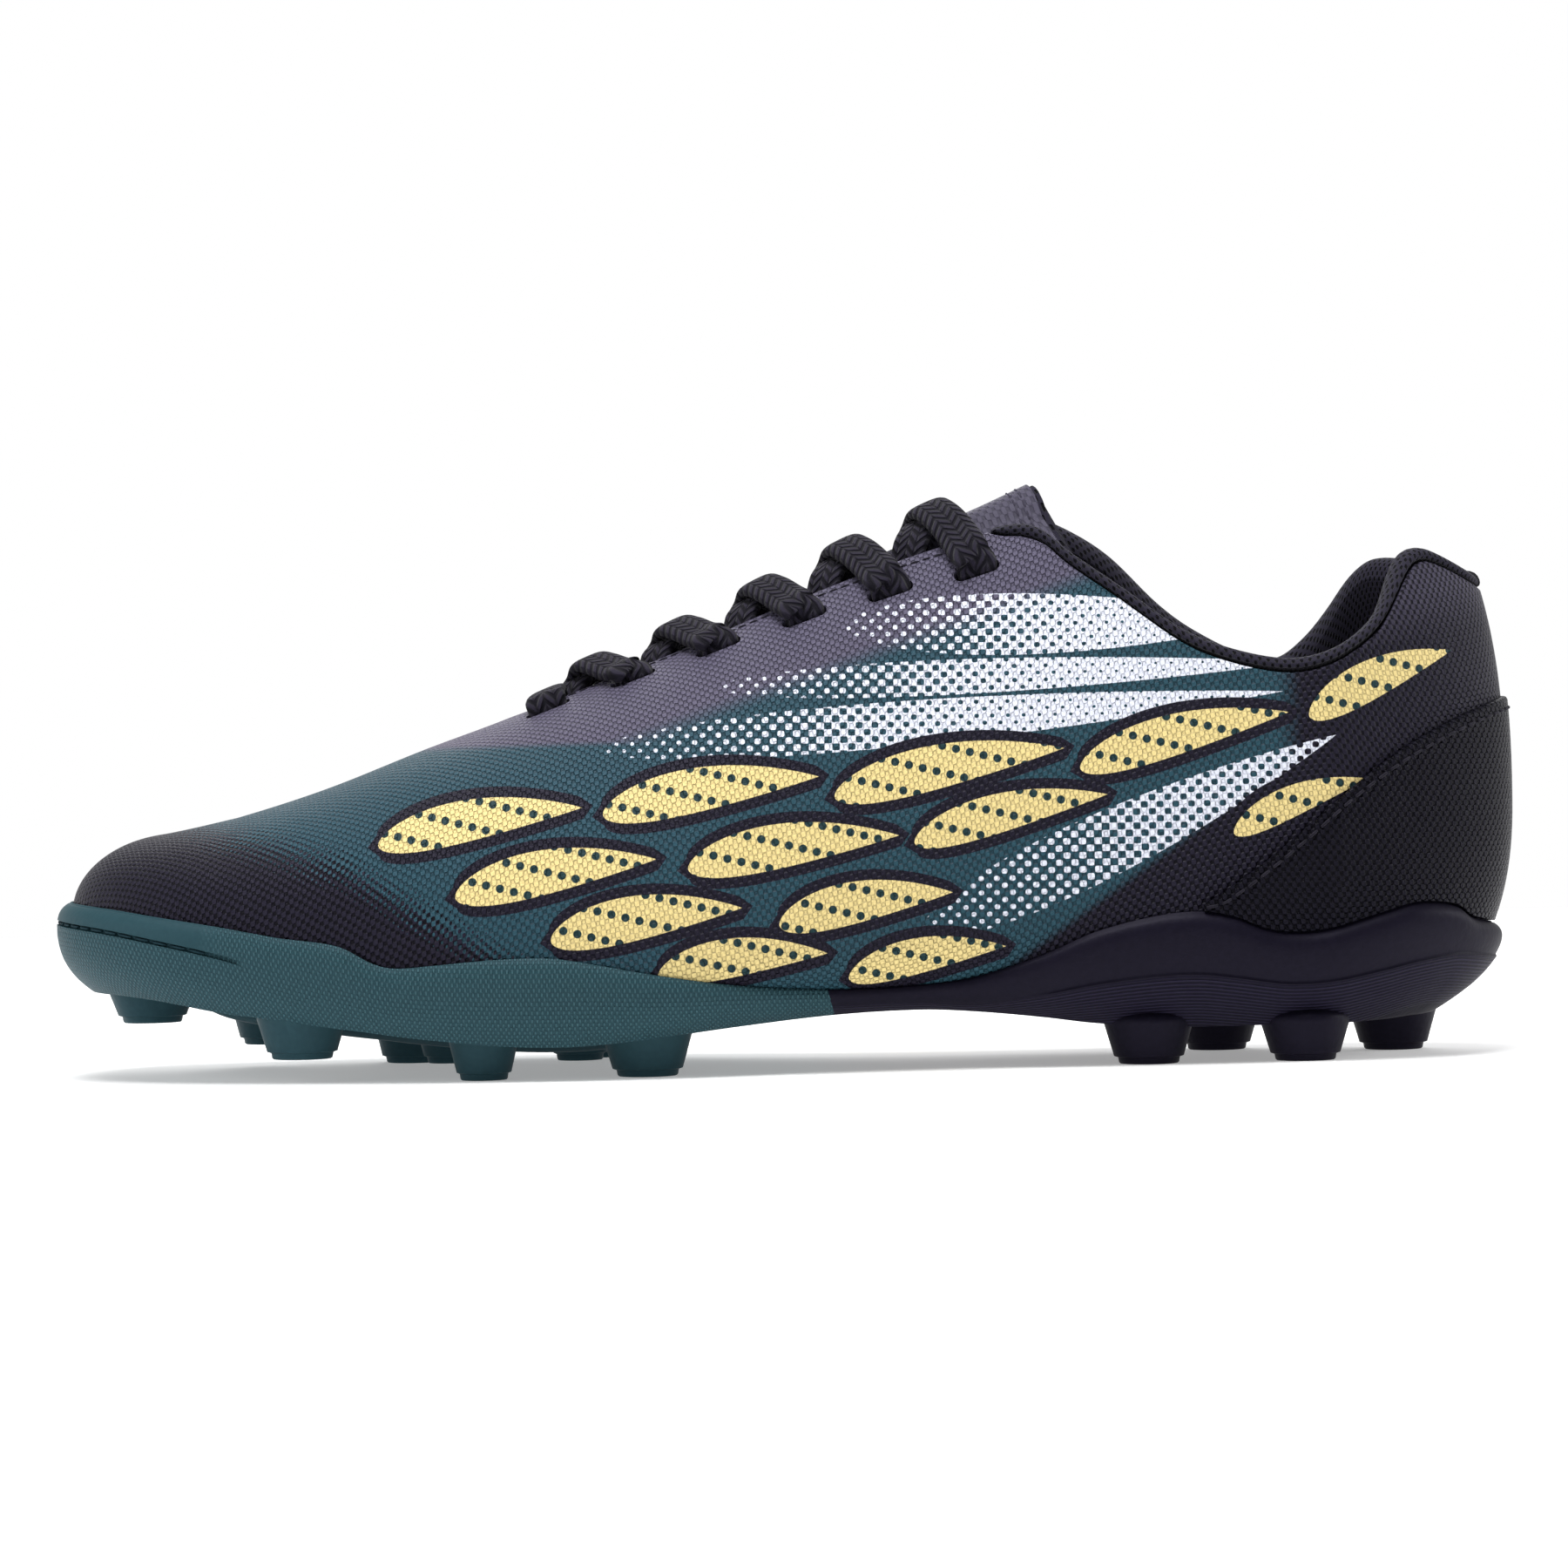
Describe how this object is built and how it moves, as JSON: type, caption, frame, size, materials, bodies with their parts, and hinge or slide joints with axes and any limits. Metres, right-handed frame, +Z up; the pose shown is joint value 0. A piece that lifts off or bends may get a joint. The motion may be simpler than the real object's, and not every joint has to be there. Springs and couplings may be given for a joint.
{
  "type": "soccer cleat",
  "caption": "Low soccer cleat for the left foot: printed synthetic upper, mesh tongue and collar lining, flat laces and a two-colour moulded rubber sole with conical studs.",
  "frame": {"origin": "under the middle of the shoe's box, on the ground that the studs stand on", "axes": "toe towards -X, heel towards +X, outer (lateral) side towards -Y, inner (medial) side towards +Y, +Z up"},
  "size_m": [0.2876, 0.1008, 0.1132],
  "materials": {
    "rubber_teal": "satin moulded",
    "rubber_black": "satin moulded",
    "synthetic_upper": "satin embossed synthetic with a printed pattern",
    "synthetic_black": "satin embossed synthetic",
    "mesh_black": "matte knitted mesh",
    "foam_black": "matte",
    "lace_black": "matte braided"
  },
  "bodies": {
    "root": {"outsole_forefoot": "rubber_teal", "outsole_heel": "rubber_black", "upper": "synthetic_upper", "heel_counter": "synthetic_black", "collar_lining": "mesh_black", "tongue": "mesh_black", "insole": "foam_black", "lace_row_1": "lace_black", "lace_row_2": "lace_black", "lace_row_3": "lace_black", "lace_row_4": "lace_black", "lace_row_5": "lace_black", "lace_row_6": "lace_black"}
  },
  "joints": []
}
